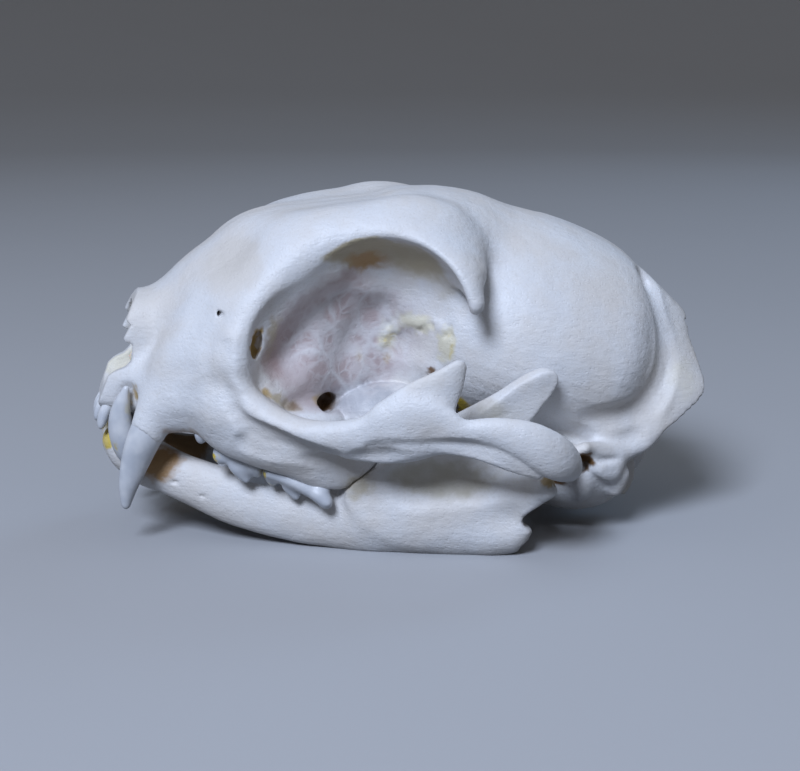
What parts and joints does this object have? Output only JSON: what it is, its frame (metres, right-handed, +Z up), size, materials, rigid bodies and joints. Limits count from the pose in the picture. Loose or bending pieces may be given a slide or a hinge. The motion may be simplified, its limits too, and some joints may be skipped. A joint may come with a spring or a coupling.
{
  "type": "cat skull",
  "caption": "Life-size domestic cat skull with its jaw closed: domed brain case, large eye sockets, cheek arches, ear capsules and long canines, leaning back on its mandible.",
  "frame": {"origin": "on the floor, under the middle of the skull's length and on its midline", "axes": "-Y towards the nose, +X towards the animal's left side, +Z up from the floor that the mandible rests on"},
  "size_m": [0.07, 0.0897, 0.0504],
  "materials": {
    "bone": "dry cleaned bone, satin, translucent where thin",
    "enamel": "smooth tooth enamel, slightly bluish"
  },
  "bodies": {
    "root": {"face": "bone", "braincase": "bone", "zygomatic_arch_left": "bone", "zygomatic_arch_right": "bone", "auditory_bulla_left": "bone", "auditory_bulla_right": "bone", "mandible_left": "bone", "mandible_right": "bone", "upper_canine_left": "enamel", "upper_canine_right": "enamel", "lower_canine_left": "enamel", "lower_canine_right": "enamel"}
  },
  "joints": []
}
